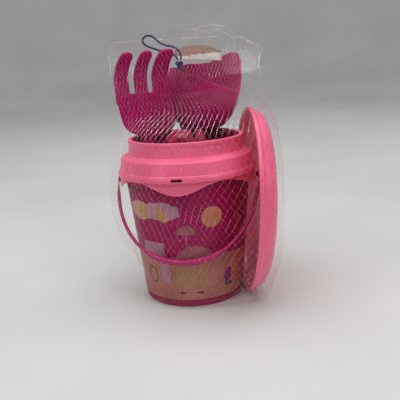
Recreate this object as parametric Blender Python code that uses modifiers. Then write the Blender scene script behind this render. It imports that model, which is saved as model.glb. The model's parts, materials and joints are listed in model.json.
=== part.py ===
"""Beach bucket set: bucket with a stepped collar and a swinging bail, a sieve dish, a rake, a scoop
and two sand moulds, held together by a net sleeve with a drawcord and a blank tag.

Metres, +Z up. The origin is the centre of the bucket's flat underside, the bucket's front faces -Y and
the bail turns about the X direction. Blender 4.5 builds it with bpy, bmesh and mathutils alone.
"""

import math

import bmesh
import bpy
from mathutils import Matrix, Vector

MM = 0.001
COLLECTION_NAME = "beach_bucket_set"
CUTTERS_NAME = "cutters"

# Bucket body, a tapered tub. Radii are outer radii.
ROUND_SIDES = 48
WALL = 1.8 * MM
BASE_RADIUS = 54.7 * MM
BODY_TOP = 139.0 * MM
BODY_TOP_RADIUS = 68.0 * MM
BASE_BAND_HEIGHT = 7.6 * MM
NECK_RADIUS = 60.7 * MM
NECK_BASE = 144.0 * MM
NECK_TOP = 176.2 * MM

# Wrap label around the body
LABEL_BOTTOM = 8.0 * MM
LABEL_TOP = 131.0 * MM
LABEL_THICKNESS = 0.4 * MM
TOUCH_GAP = 0.3 * MM

# Collar, three steps and a wavy skirt
RIM_HEIGHT = 179.0 * MM
SKIRT_RADIUS = 75.0 * MM
SKIRT_VALLEY = 139.3 * MM
SKIRT_LOBE = 127.8 * MM
FRONT_LOBE_HALF = math.radians(34)
SIDE_LOBE_HALF = math.radians(52)
WINDOW_SIZE = (11 * MM, 12 * MM, 3.2 * MM)
WINDOW_HEIGHT = 143.6 * MM

# Bail
PIVOT_HEIGHT = 133.0 * MM
PIVOT_SPAN = 78.6 * MM
BAIL_LENGTH = 102.0 * MM
BAIL_HANG = math.radians(39.5)
BAIL_ROD = 2.0 * MM
BAIL_GRIP = 3.5 * MM
PIVOT_HOLE = 2.7 * MM
PIVOT_PIN = 2.3 * MM
PIVOT_HEAD = 3.4 * MM

# The loose pieces and the sieve stand turned a little from the bucket
SET_TURN = math.radians(8)

SIEVE_RADIUS = 102.7 * MM
SIEVE_OUT = 62.9 * MM
SIEVE_LEAN = math.radians(3.7)
SIEVE_YAW = math.radians(2.6)
SIEVE_DEPTH = 22.0 * MM
SIEVE_WALL = 2.0 * MM
SIEVE_HOLE = 1.9 * MM
SIEVE_HOLE_PITCH = 13.0 * MM
SIEVE_HOLE_CIRCLES = 5
SIEVE_LIFT = 0.6 * MM

RAKE_AT = Vector((-43.5, 22.5, 180.0)) * MM
RAKE_LEAN = math.radians(-1.5)
RAKE_YAW = math.radians(10)
RAKE_THICK = 6.5 * MM
# Each tine's middle and half width, left to right
RAKE_TINES = ((-22.4 * MM, 8.2 * MM), (-1.2 * MM, 7.6 * MM), (20.6 * MM, 9.6 * MM))
RAKE_TIP_SHIFT = 10.5 * MM
RAKE_TINE_FOOT = 36.0 * MM
RAKE_TINE_STRAIGHT = 26.0 * MM
RAKE_HOOK_RISE = 27.0 * MM
RAKE_HOOK_REACH = 19.5 * MM
RAKE_HOOK_TURN = math.radians(96)

SCOOP_AT = Vector((25.0, 43.0, 236.3)) * MM
SCOOP_LEAN = math.radians(22.3)
SCOOP_YAW = math.radians(-20)
# How the scoop's back lip rises across its width: share of the half width, share of the tongue
SCOOP_LIP = (
    (-1.0, 0.0), (-0.85, 0.22), (-0.3, 0.44), (0.0, 0.74), (0.22, 0.94), (0.42, 1.0), (0.6, 0.9),
    (0.82, 0.42), (1.0, 0.0),
)  # fmt: skip
SCOOP_WALL = 2.2 * MM

SHELL_AT = Vector((-4.5, -41.0, 174.0)) * MM
STAR_AT = Vector((16.0, -20.0, 160.5)) * MM

CORD_DIAMETER = 2.2 * MM
KNOT_AT = Vector((-1.6, 19.2, 254.2)) * MM
TAG_AT = Vector((19.5, 31.0, 265.5)) * MM
TAG_SIZE = (52 * MM, 22 * MM, 0.7 * MM)
TAG_TILT = math.radians(45)
TAG_LEAN = math.radians(4)
NET_THICKNESS = 0.8 * MM
NET_GAP = 2.2 * MM
NET_SIDES = 44
NET_TOP = 281 * MM
NET_BOTTOM = 0.8 * MM


def clear_scene():
    for item in list(bpy.data.objects):
        bpy.data.objects.remove(item, do_unlink=True)
    for name in (COLLECTION_NAME, CUTTERS_NAME):
        group = bpy.data.collections.new(name)
        bpy.context.scene.collection.children.link(group)


def plastic(name, colour, roughness):
    material = bpy.data.materials.new(name)
    material.use_nodes = True
    shader = material.node_tree.nodes["Principled BSDF"]
    shader.inputs["Base Color"].default_value = (*colour, 1.0)
    shader.inputs["Roughness"].default_value = roughness
    material.diffuse_color = (*colour, 1.0)
    return material


def add_mesh(name, points, faces, material=None, group=COLLECTION_NAME):
    mesh = bpy.data.meshes.new(name)
    mesh.from_pydata([tuple(p) for p in points], [], faces)
    turn_outward(mesh)
    item = bpy.data.objects.new(name, mesh)
    bpy.data.collections[group].objects.link(item)
    if material:
        mesh.materials.append(material)
        mesh.shade_smooth()
        mesh.set_sharp_from_angle(angle=math.radians(35))
    return item


def turn_outward(mesh):
    """Flips a skin that was wound inward."""
    skin = bmesh.new()
    skin.from_mesh(mesh)
    if skin.calc_volume(signed=True) < 0:
        bmesh.ops.reverse_faces(skin, faces=skin.faces)
    skin.to_mesh(mesh)
    skin.free()
    mesh.update()


def loft(name, rings, material=None, group=COLLECTION_NAME, closed=False):
    """One skin through rings of equal point count. It ends in flat caps, or joins up if closed."""
    count = len(rings[0])
    points = [p for ring in rings for p in ring]
    faces = []
    joins = len(rings) if closed else len(rings) - 1
    for i in range(joins):
        a = i * count
        b = ((i + 1) % len(rings)) * count
        for k in range(count):
            n = (k + 1) % count
            faces.append((a + k, a + n, b + n, b + k))
    if not closed:
        last = (len(rings) - 1) * count
        faces.append(tuple(reversed(range(count))))
        faces.append(tuple(last + k for k in range(count)))
    return add_mesh(name, points, faces, material, group)


def turned(name, profile, material, axis="Z", flip=False):
    """A closed profile of (radius, height) points in mm, turned about an axis with a Screw modifier."""
    points = []
    for radius, height in profile:
        points.append((radius * MM, 0, height * MM) if axis == "Z" else (height * MM, 0, radius * MM))
    edges = [(i, (i + 1) % len(points)) for i in range(len(points))]
    mesh = bpy.data.meshes.new(name)
    mesh.from_pydata(points, edges, [])
    item = bpy.data.objects.new(name, mesh)
    bpy.data.collections[COLLECTION_NAME].objects.link(item)
    mesh.materials.append(material)
    spin = item.modifiers.new("turn", "SCREW")
    spin.axis = axis
    spin.steps = ROUND_SIDES
    spin.render_steps = ROUND_SIDES
    spin.use_merge_vertices = True
    spin.merge_threshold = 0.01 * MM
    spin.use_normal_calculate = True
    spin.use_normal_flip = flip
    spin.use_smooth_shade = True
    return item


def turned_ring(radius, height, sides=ROUND_SIDES):
    """A circle about Z. height is a number or a function of the angle from the front."""
    ring = []
    for k in range(sides):
        angle = math.tau * k / sides
        z = height(angle) if callable(height) else height
        ring.append(Vector((radius * math.sin(angle), -radius * math.cos(angle), z)))
    return ring


def body_radius(z):
    return BASE_RADIUS + (BODY_TOP_RADIUS - BASE_RADIUS) * z / BODY_TOP


def place(item, at, lean=0.0, yaw=0.0):
    """Stands a loose piece: its own yaw, then its lean to the right, then the turn of the set."""
    turn = Matrix.Rotation(SET_TURN, 4, "Z")
    lean_turn = Matrix.Rotation(lean, 4, "Y")
    own = Matrix.Rotation(yaw, 4, "Z")
    item.data.transform(turn @ Matrix.Translation(at) @ lean_turn @ own)
    item.data.update()


def cut(item, cutter):
    cutter.hide_render = True
    cutter.display_type = "WIRE"
    step = item.modifiers.new("cut", "BOOLEAN")
    step.operation = "DIFFERENCE"
    step.solver = "EXACT"
    step.object = cutter


def bucket_body(material):
    """The tub as one turned skin: up the inside from the floor, over the neck and down the outside."""
    base = BASE_RADIUS / MM
    shoulder = BODY_TOP_RADIUS / MM
    neck = NECK_RADIUS / MM
    neck_base = NECK_BASE / MM
    band = BASE_BAND_HEIGHT / MM
    wall = WALL / MM
    profile = [
        (0, 2.4), (base - wall - 3, 2.4), (base - wall, 5.4), (shoulder - wall, BODY_TOP / MM - 0.6),
        (neck - wall, neck_base - 0.8), (neck - wall, NECK_TOP / MM), (neck, NECK_TOP / MM),
        (neck, neck_base), (shoulder, BODY_TOP / MM), (body_radius(BASE_BAND_HEIGHT) / MM, band),
        (base + 1.0, band - 0.6), (base + 0.5, 0.9), (base - 0.6, 0), (0, 0),
    ]  # fmt: skip
    return turned("bucket_body", profile, material)


def printed_label(material):
    low = body_radius(LABEL_BOTTOM) + TOUCH_GAP
    high = body_radius(LABEL_TOP) + TOUCH_GAP
    profile = [
        (low, LABEL_BOTTOM), (low + LABEL_THICKNESS, LABEL_BOTTOM),
        (high + LABEL_THICKNESS, LABEL_TOP), (high, LABEL_TOP),
    ]  # fmt: skip
    return turned("printed_label", [(r / MM, z / MM) for r, z in profile], material, flip=True)


def skirt_edge(angle):
    """Height of the wavy edge: narrow lobes at the front and back, wide ones at the sides."""
    quarter = math.pi / 2
    lobe = round(angle / quarter)
    half = SIDE_LOBE_HALF if lobe % 2 else FRONT_LOBE_HALF
    away = abs(angle - lobe * quarter) / half
    depth = 0.5 + 0.5 * math.cos(math.pi * min(1.0, away))
    if lobe % 2:
        depth = min(1.0, 1.25 * depth)
    return SKIRT_VALLEY - (SKIRT_VALLEY - SKIRT_LOBE) * depth


def collar_ring(material):
    profile = [
        (58.9, 176.9), (58.7, 178.4), (59.4, RIM_HEIGHT / MM),
        (62.7, RIM_HEIGHT / MM), (63.3, 178.3), (63.3, 175.4), (62.6, 174.9),
        (63.4, 163.7), (70.8, 160.0), (71.6, 158.9), (74.2, 147.3),
        (76.4, 146.2), (76.6, 140.9), (SKIRT_RADIUS / MM, 140.3),
    ]  # fmt: skip
    inside = [
        (73.2, 141.4), (73.4, 144.6), (72.3, 146.6), (69.6, 157.7),
        (61.6, 161.7), (61.1, 174.9), (61.1, 176.9),
    ]  # fmt: skip
    rings = [turned_ring(r * MM, z * MM) for r, z in profile]
    rings.append(turned_ring(SKIRT_RADIUS, skirt_edge))
    rings.append(turned_ring(SKIRT_RADIUS - WALL, skirt_edge))
    rings += [turned_ring(r * MM, z * MM) for r, z in inside]
    rings.reverse()
    collar = loft("collar_ring", rings, material, closed=True)

    windows = new_cutter("collar_windows")
    for side in (-1, 1):
        add_box(windows, WINDOW_SIZE, Vector((0, side * SKIRT_RADIUS, WINDOW_HEIGHT)))
    cut(collar, windows)

    holes = new_cutter("pivot_holes")
    for side in (-1, 1):
        add_rod(holes, PIVOT_HOLE, 14 * MM, Vector((side * SKIRT_RADIUS, 0, PIVOT_HEIGHT)), 16)
    cut(collar, holes)
    return collar


def new_cutter(name):
    item = bpy.data.objects.new(name, bpy.data.meshes.new(name))
    bpy.data.collections[CUTTERS_NAME].objects.link(item)
    return item


def add_box(item, size, centre):
    """Adds a box to an object's mesh."""
    grown = bmesh.new()
    grown.from_mesh(item.data)
    scale = Matrix.Diagonal((*size, 1.0))
    bmesh.ops.create_cube(grown, size=1.0, matrix=Matrix.Translation(centre) @ scale)
    grown.to_mesh(item.data)
    grown.free()


def add_rod(item, radius, length, centre, sides):
    """Adds a rod along X to an object's mesh."""
    grown = bmesh.new()
    grown.from_mesh(item.data)
    place_rod = Matrix.Translation(centre) @ Matrix.Rotation(math.pi / 2, 4, "Y")
    bmesh.ops.create_cone(
        grown, cap_ends=True, segments=sides, radius1=radius, radius2=radius, depth=length,
        matrix=place_rod,
    )  # fmt: skip
    grown.to_mesh(item.data)
    grown.free()


def swept_ring(centre, along, radius, sides, flat=1.0):
    """A ring square to the path. flat thins it front to back."""
    front = Vector((0, -1, 0))
    across = along.cross(front).normalized()
    ring = []
    for k in range(sides):
        angle = math.tau * k / sides
        ring.append(centre + across * radius * math.cos(angle) + front * radius * flat * math.sin(angle))
    return ring


def bail_handle(material):
    """A half-oval rod between two pivot pins, thicker at the grip, swung down against the bucket."""
    sides = 10
    steps = 36
    rings = []
    pin_inner = 70.4 * MM
    head_end = 71.6 * MM
    face = 76.6 * MM + 0.5 * MM
    pin_plan = [
        (pin_inner, PIVOT_HEAD - 0.8 * MM), (pin_inner + 0.5 * MM, PIVOT_HEAD),
        (head_end, PIVOT_HEAD), (head_end, PIVOT_PIN), (face, PIVOT_PIN), (face, 4.2 * MM),
        (face + 2.2 * MM, 4.2 * MM),
    ]  # fmt: skip
    for x, radius in pin_plan:
        rings.append(swept_ring(Vector((-x, 0, 0)), Vector((-1, 0, 0)), radius, sides))
    for i in range(2, steps - 1):
        angle = math.pi * i / steps
        x = -PIVOT_SPAN * math.copysign(abs(math.cos(angle)) ** 0.94, math.cos(angle))
        down = BAIL_LENGTH * math.sin(angle) ** 0.94
        along = Vector((PIVOT_SPAN * math.sin(angle), 0, -BAIL_LENGTH * math.cos(angle)))
        grip = max(0.0, min(1.0, (math.sin(angle) - 0.86) / 0.06))
        radius = BAIL_ROD + (BAIL_GRIP - BAIL_ROD) * grip
        rings.append(swept_ring(Vector((x, 0, -down)), along, radius, sides))
    for x, radius in reversed(pin_plan):
        rings.append(swept_ring(Vector((x, 0, 0)), Vector((-1, 0, 0)), radius, sides))
    bail = loft("bail_handle", rings, material)
    hang = Matrix.Rotation(-BAIL_HANG, 4, "X")
    bail.data.transform(Matrix.Translation((0, 0, PIVOT_HEIGHT)) @ hang)
    return bail


def sieve_dish(material):
    """A round dish turned about X, its closed side away from the bucket, with rings of holes."""
    wall = SIEVE_WALL / MM
    deep = SIEVE_DEPTH / MM
    rim = SIEVE_RADIUS / MM
    profile = [
        (0, deep), (66, deep), (78, 21.6), (88.5, 19.4), (95.5, 15.4), (98.9, 10.6), (100.8, 4.6),
        (rim, 4.0), (rim, 0), (98.8, 0), (96.9, 10.0), (94.0, 14.0), (87.6, 19.2 - wall),
        (77.6, 21.4 - wall), (66, deep - wall), (0, deep - wall),
    ]  # fmt: skip
    dish = turned("sieve", profile, material, axis="X")

    holes = new_cutter("sieve_holes")
    for circle in range(SIEVE_HOLE_CIRCLES):
        count = max(1, 6 * circle)
        for k in range(count):
            angle = math.tau * k / count
            out = circle * SIEVE_HOLE_PITCH
            centre = Vector((SIEVE_DEPTH - wall * MM / 2, out * math.cos(angle), out * math.sin(angle)))
            add_rod(holes, SIEVE_HOLE, 10 * MM, centre, 6)
    cut(dish, holes)
    rim_centre = Vector((SIEVE_OUT, 0, SIEVE_RADIUS * math.cos(SIEVE_LEAN) + SIEVE_LIFT))
    for item in (dish, holes):
        lean = Matrix.Rotation(SIEVE_YAW, 4, "Z") @ Matrix.Rotation(SIEVE_LEAN, 4, "Y")
        stand = Matrix.Rotation(SET_TURN, 4, "Z") @ Matrix.Translation(rim_centre)
        item.matrix_world = stand @ lean
    return dish


def slab_ring(x, z, half_width, half_thick, y=0.0, lean=0.0, sides=12):
    """A rounded flat section of a bar that runs along Z, tipped forward by lean."""
    ring = []
    for k in range(sides):
        angle = math.tau * (k + 0.5) / sides
        c, s = math.cos(angle), math.sin(angle)
        across = half_width * math.copysign(abs(c) ** 0.5, c)
        deep = half_thick * math.copysign(abs(s) ** 0.5, s)
        ring.append(Vector((x + across, y + deep * math.cos(lean), z + deep * math.sin(lean))))
    return ring


def rake(material):
    """Handle and palm as one loft, joined to three tines that hook forward at their tips."""
    # Height, middle, half width and half thickness of each section, in mm
    palm_plan = [
        (-166, 0, 4, 4), (-163, 0, 6, 5.6), (-100, 0, 5.4, 5), (-20, 0, 6, 4.6), (-4, 1, 8, 4),
        (-1.5, 5.5, 14, 3.8), (0.8, 6, 20, 3.5), (3.5, 5.5, 24.5, 3.3), (7, 5, 28, 3.2),
        (12, 4.5, 30, 3.2), (20, 3.5, 31, 3.2), (34, 1.8, 31.2, 3.2), (46, 0, 30.8, 3.2),
    ]  # fmt: skip
    rings = [slab_ring(x * MM, z * MM, w * MM, t * MM) for z, x, w, t in palm_plan]
    body = loft("rake", rings, material)
    for number, (column, half_width) in enumerate(RAKE_TINES):
        tine = loft(f"rake_tine_{number + 1}", tine_rings(column, half_width), group=CUTTERS_NAME)
        join(body, tine)
        place(tine, RAKE_AT, RAKE_LEAN, RAKE_YAW)
    place(body, RAKE_AT, RAKE_LEAN, RAKE_YAW)
    return body


def tine_rings(column, half_width):
    """Sections of one tine: straight up from the palm, then over to the front in a blunt hook."""
    rings = [slab_ring(column, RAKE_TINE_FOOT, half_width, RAKE_THICK / 2)]
    steps = 9
    for step in range(steps + 1):
        bend = step / steps
        angle = RAKE_HOOK_TURN * bend
        x = column + RAKE_TIP_SHIFT * bend**1.3
        y = -RAKE_HOOK_REACH * (1 - math.cos(angle))
        z = RAKE_TINE_FOOT + RAKE_TINE_STRAIGHT + RAKE_HOOK_RISE * math.sin(angle)
        blunt = 1 - 0.45 * max(0.0, bend - 0.8) / 0.2
        width = half_width * (1 - 0.18 * bend**2) * blunt
        thick = RAKE_THICK / 2 * (1 - 0.3 * bend) * blunt
        rings.append(slab_ring(x, z, width, thick, y, angle))
    return rings


def join(item, other):
    other.hide_render = True
    other.display_type = "WIRE"
    step = item.modifiers.new("join", "BOOLEAN")
    step.operation = "UNION"
    step.solver = "EXACT"
    step.object = other


def lip_rise(across):
    """The back lip's height at a place across the scoop, as a share of the tongue."""
    for (x0, h0), (x1, h1) in zip(SCOOP_LIP, SCOOP_LIP[1:], strict=False):
        if across <= x1:
            return h0 + (h1 - h0) * (across - x0) / (x1 - x0)
    return 0.0


def scoop_ring(half_width, near, far, height, sides=28, tongue=0.0, shift=0.0):
    """A D-shaped section: a nearly flat wall in front and a deep round one behind."""
    ring = []
    for k in range(sides):
        angle = math.tau * k / sides
        c, s = math.cos(angle), math.sin(angle)
        across = half_width * math.copysign(abs(c) ** 0.9, c)
        deep = (far if s > 0 else near) * math.copysign(abs(s) ** 0.8, s)
        rise = tongue * lip_rise(across / half_width) if s > 1e-6 else 0.0
        ring.append(Vector((across, deep + shift, height + rise)))
    return ring


def scoop(material):
    """One skin: up the handle, out over the bowl, over the lip and down the inside."""
    tongue = 42 * MM
    handle = [(-148, 3.5, -4), (-145, 5.6, -4), (-110, 5.0, -3), (-66, 5.8, 0)]
    rings = []
    for z, half, shift in handle:
        deep = 0.8 * half * MM
        rings.append(scoop_ring(half * MM, deep, deep, z * MM, shift=shift * MM))
    bowl = [
        (-58, 11.0, 6.0, 9.0), (-55, 21.5, 8.0, 15.0), (-49, 32.5, 10.0, 23.0), (-40, 40.5, 11.0, 29.0),
        (-28, 44.2, 12.0, 32.0), (-14, 45.0, 12.0, 33.5),
    ]  # fmt: skip
    for z, half, near, far in bowl:
        rings.append(scoop_ring(half * MM, near * MM, far * MM, z * MM))
    rings.append(scoop_ring(43.0 * MM, 12 * MM, 34 * MM, 0.0, tongue=tongue))
    wall = SCOOP_WALL
    rings.append(scoop_ring(43.0 * MM - wall, 12 * MM - wall, 34 * MM - wall, 0.0, tongue=tongue))
    for z, half, near, far in reversed(bowl[1:]):
        lift = 1.6 * MM
        inner = (half * MM - wall, near * MM - wall, far * MM - wall)
        rings.append(scoop_ring(*inner, z * MM + lift))
    item = loft("scoop", rings, material)
    place(item, SCOOP_AT, SCOOP_LEAN, SCOOP_YAW)
    return item


def shell_outline(angle):
    """Scalloped fan: radius as a share of the size, angle from the right in the upright plane."""
    ribs = 0.035 * math.cos(7 * angle)
    hinge = 0.28 * max(0.0, -math.sin(angle)) ** 6
    return 1.0 + ribs - hinge


def star_outline(angle):
    """Five rounded arms, one of them up."""
    wave = 0.5 + 0.5 * math.cos(5 * (angle - math.pi / 2))
    return 0.56 + 0.44 * wave**1.4


def mould_ring(outline, size, y, sides=40):
    ring = []
    for k in range(sides):
        angle = math.tau * k / sides
        radius = size * outline(angle)
        ring.append(Vector((radius * math.cos(angle), y, radius * math.sin(angle))))
    return ring


def sand_mould(name, outline, size, half_depth, material, at):
    """A shallow cup on edge, its mouth toward the bucket's back."""
    wall = 1.7 * MM
    plan = [
        (size * 0.62 - wall, -half_depth + wall), (size * 0.86 - wall, -half_depth * 0.45 + wall),
        (size - wall, half_depth), (size + 1.4 * MM, half_depth), (size + 1.4 * MM, half_depth - 2 * MM),
        (size * 0.99, half_depth - 2.2 * MM), (size * 0.87, -half_depth * 0.5), (size * 0.64, -half_depth),
    ]  # fmt: skip
    rings = [mould_ring(outline, radius, y) for radius, y in plan]
    item = loft(name, rings, material)
    place(item, at)
    return item


def sieve_supports(z):
    """Circles that hold the net off the sieve at one height."""
    found = []
    centre = SIEVE_RADIUS + SIEVE_LIFT
    stations = ((2.5, 102.7), (11.5, 99.0), (21.0, 82.0))
    for depth, radius in stations:
        span = (radius * MM) ** 2 - (z - centre) ** 2
        if span > 0:
            x = SIEVE_OUT + depth * MM + (z - centre) * math.tan(SIEVE_LEAN)
            for side in (-1, 1):
                y = side * math.sqrt(span)
                found.append((x - y * math.sin(SIEVE_YAW), y, 3.2 * MM))
    return found


def bucket_supports(z):
    found = [(0, 0, 2 * MM + min(body_radius(max(0, z)), 63 * MM))]
    if 126 * MM < z < 160 * MM:
        found = [(0, 0, 77 * MM)]
    elif z < 126 * MM:
        found = [(0, 0, body_radius(max(0, z)) + 1.5 * MM)]
    elif z > 181 * MM:
        found = [(0, 0, 2 * MM)]
    down = (PIVOT_HEIGHT - z) / math.cos(BAIL_HANG)
    if -3 * MM < down < BAIL_LENGTH + 6 * MM:
        share = min(1.0, max(0.0, down) / BAIL_LENGTH)
        half = PIVOT_SPAN * math.sqrt(max(0.0, 1 - share**2)) + 3 * MM
        y = -max(0.0, down) * math.sin(BAIL_HANG)
        turn = -SET_TURN
        for x in (-half, half):
            at_x = x * math.cos(turn) - y * math.sin(turn)
            at_y = x * math.sin(turn) + y * math.cos(turn)
            found.append((at_x, at_y, 4.5 * MM))
    return found


def tool_supports(z):
    """The heads of the rake and the scoop, as upright posts with a lowest and a highest point."""
    posts = (
        (-69, 12, 7, 184, 262), (-70, 21, 6, 184, 262), (-54, 10, 7, 160, 262), (-62, 0, 6, 246, 276),
        (-40, -4, 6, 246, 281), (-14, 4, 6, 246, 281), (2, 0, 4, 240, 281), (45, 2, 4, 240, 281),
        (-23, 52, 5, 190, 256), (-8, 72, 7, 188, 268), (18, 76, 6, 190, 281), (56, 70, 7, 196, 281),
        (66, 62, 6, 190, 276), (66, 44, 6, 192, 250), (86, 20, 4, 190, 262), (-10, 36, 4, 175, 281),
    )  # fmt: skip
    found = []
    for x, y, radius, low, high in posts:
        if low * MM <= z <= high * MM:
            found.append((x * MM, y * MM, radius * MM))
    return found


def net_levels():
    return [h * MM for h in (14, 32, 52, 74, 96, 120, 146, 166, 186, 206, 224, 240, 256, 268)]


def net_ring(supports, extra):
    """The line that a taut net takes around round supports: the outermost point in each direction."""
    ring = []
    for k in range(NET_SIDES):
        angle = math.tau * k / NET_SIDES
        out = Vector((math.cos(angle), math.sin(angle)))
        x, y, radius = max(supports, key=lambda s: s[0] * out.x + s[1] * out.y + s[2])
        ring.append(Vector((x + out.x * (radius + extra), y + out.y * (radius + extra))))
    return ring


def level_supports(z):
    found = []
    for at in (z - 11 * MM, z, z + 11 * MM):
        found += sieve_supports(at) + bucket_supports(at) + tool_supports(at)
    return found


def net_bag(material):
    """A thin open sleeve that follows the outside of everything it holds."""
    heights = [NET_BOTTOM] + net_levels() + [NET_TOP]
    skins = []
    for extra in (NET_GAP, NET_GAP + NET_THICKNESS):
        skin = []
        for z in heights:
            ring = net_ring(level_supports(z), extra)
            skin.append([Vector((p.x, p.y, z)) for p in ring])
        skins.append(skin)
    rings = skins[0][::-1] + skins[1]
    sleeve = loft("net_bag", rings, material, closed=True)
    place(sleeve, Vector((0, 0, 0)))
    return sleeve


CORD_ROUTE = (
    (-3.2, 20.0, 259.5), (-6.0, 21.5, 264.0), (-13.0, 24.0, 266.8), (-21.0, 24.5, 269.8),
    (-28.0, 23.5, 272.6), (-35.0, 22.0, 275.4), (-39.4, 20.6, 279.0), (-39.6, 20.0, 283.2),
    (-35.6, 20.0, 286.6), (-30.2, 20.0, 286.0), (-25.6, 19.0, 282.6), (-21.4, 18.0, 278.6),
    (-15.0, 17.2, 275.4), (-7.6, 17.0, 273.6), (-2.0, 17.2, 269.6), (0.6, 17.8, 263.6),
    (0.4, 18.4, 259.6),
)  # fmt: skip


def smooth_route(points, per_span=5):
    """A Catmull-Rom line through the route's points."""
    spots = [Vector(p) * MM for p in points]
    spots = [spots[0] * 2 - spots[1]] + spots + [spots[-1] * 2 - spots[-2]]
    line = []
    for i in range(1, len(spots) - 2):
        a, b, c, d = spots[i - 1 : i + 3]
        for step in range(per_span):
            t = step / per_span
            smooth = (c - a) * t + (2 * a - 5 * b + 4 * c - d) * t**2 + (3 * b - a - 3 * c + d) * t**3
            line.append(b + smooth / 2)
    line.append(spots[-2])
    return line


def drawcord(material):
    line = smooth_route(CORD_ROUTE)
    turn = Matrix.Rotation(SET_TURN, 4, "Z")
    curve = bpy.data.curves.new("drawcord", "CURVE")
    curve.dimensions = "3D"
    spline = curve.splines.new("POLY")
    spline.points.add(len(line) - 1)
    for point, at in zip(spline.points, line, strict=True):
        point.co = (*(turn @ at), 1.0)
    curve.bevel_depth = CORD_DIAMETER / 2
    curve.bevel_resolution = 2
    curve.use_fill_caps = True
    curve.materials.append(material)
    item = bpy.data.objects.new("drawcord", curve)
    bpy.data.collections[COLLECTION_NAME].objects.link(item)
    return item


def cord_knot(material):
    """The knot's outer shape, a squashed ball just below the two ends of the loop."""
    rings = []
    for step in range(1, 8):
        angle = math.pi * step / 8
        z = -4.0 * MM * math.cos(angle)
        rings.append(swept_ring(Vector((0, 0, z)), Vector((0, 0, 1)), 5.2 * MM * math.sin(angle), 14, 0.75))
    item = loft("cord_knot", rings, material)
    place(item, KNOT_AT)
    return item


def hang_tag(material):
    """A blank card behind the knot, tipped to face the front."""
    item = bpy.data.objects.new("hang_tag", bpy.data.meshes.new("hang_tag"))
    bpy.data.collections[COLLECTION_NAME].objects.link(item)
    item.data.materials.append(material)
    add_box(item, TAG_SIZE, Vector((0, 0, 0)))
    item.data.transform(Matrix.Rotation(TAG_TILT, 4, "X"))
    place(item, TAG_AT, lean=TAG_LEAN)
    return item


def build():
    clear_scene()
    magenta = plastic("magenta_plastic", (0.42, 0.004, 0.16), 0.34)
    pink = plastic("light_pink_plastic", (0.90, 0.22, 0.36), 0.38)
    bucket_body(magenta)
    printed_label(plastic("printed_film", (0.40, 0.16, 0.17), 0.45))
    collar_ring(pink)
    bail_handle(plastic("bail_plastic", (0.46, 0.006, 0.18), 0.34))
    sieve_dish(plastic("sieve_plastic", (0.90, 0.24, 0.38), 0.38))
    rake(plastic("rake_plastic", (0.48, 0.006, 0.24), 0.36))
    scoop(plastic("scoop_plastic", (0.44, 0.006, 0.20), 0.36))
    mould = plastic("mould_plastic", (0.72, 0.14, 0.24), 0.4)
    sand_mould("shell_mould", shell_outline, 14.5 * MM, 8 * MM, mould, SHELL_AT)
    sand_mould("star_mould", star_outline, 25 * MM, 8 * MM, mould, STAR_AT)
    net_bag(plastic("net_filament", (0.85, 0.72, 0.76), 0.4))
    drawcord(plastic("cord_fibre", (0.02, 0.03, 0.12), 0.8))
    cord_knot(plastic("knot_fibre", (0.02, 0.03, 0.12), 0.8))
    hang_tag(plastic("tag_card", (0.36, 0.18, 0.11), 0.8))


build()
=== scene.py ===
import json
import math
import random

import bmesh
import bpy
from mathutils import Matrix, Vector, noise

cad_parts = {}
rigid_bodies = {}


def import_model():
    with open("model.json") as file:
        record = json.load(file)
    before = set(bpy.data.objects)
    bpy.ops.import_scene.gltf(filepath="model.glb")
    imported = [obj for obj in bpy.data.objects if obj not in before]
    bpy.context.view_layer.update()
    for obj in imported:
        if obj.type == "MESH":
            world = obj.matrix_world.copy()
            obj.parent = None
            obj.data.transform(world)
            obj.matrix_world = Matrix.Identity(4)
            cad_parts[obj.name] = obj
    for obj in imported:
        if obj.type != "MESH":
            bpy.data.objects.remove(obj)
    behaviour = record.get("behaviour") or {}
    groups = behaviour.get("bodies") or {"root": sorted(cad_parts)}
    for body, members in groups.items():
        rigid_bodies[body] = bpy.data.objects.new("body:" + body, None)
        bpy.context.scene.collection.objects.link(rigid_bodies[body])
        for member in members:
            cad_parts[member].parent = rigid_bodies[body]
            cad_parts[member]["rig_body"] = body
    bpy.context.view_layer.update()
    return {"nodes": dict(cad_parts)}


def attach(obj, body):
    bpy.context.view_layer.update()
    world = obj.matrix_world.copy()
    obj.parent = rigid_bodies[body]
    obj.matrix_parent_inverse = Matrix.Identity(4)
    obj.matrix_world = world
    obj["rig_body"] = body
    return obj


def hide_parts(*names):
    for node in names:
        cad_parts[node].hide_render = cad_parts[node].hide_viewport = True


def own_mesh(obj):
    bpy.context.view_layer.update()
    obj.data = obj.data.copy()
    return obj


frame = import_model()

MM = 0.001
nodes = frame["nodes"]

# The loose pieces and the camera stand turned a little from the bucket
SET_TURN = Matrix.Rotation(math.radians(8), 4, "Z")

SHARP_ANGLE = math.radians(40)

# Marks the points of a turned profile that follow the wavy edge
EDGE = "edge"

CAMERA_AT = Vector((0.0974, -0.6088, 0.2574))
CAMERA_DOWN = math.radians(13.93)
CAMERA_ROLL = math.radians(-3.54)
CAMERA_LENS = 50.6

# Tub, collar and label, in mm
TUB_BASE, TUB_TOP, TUB_RISE = 54.7, 68.0, 139.0
TUB_WALL, TUB_BAND = 1.8, 7.6
SKIRT_VALLEY, SKIRT_DEPTH = 139.3, 11.5
SKIRT_RADIUS = 75.0
WINDOW_HEIGHT = 143.6
PIVOT_HEIGHT, PIVOT_HOLE = 133.0, 2.7
STUD_PITCH = 3.1
LABEL_LOW, LABEL_HIGH = 8.0, 131.0
FILM_TOP = 0.75
INK = 0.06
SAND_LINE = 58.0

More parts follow.
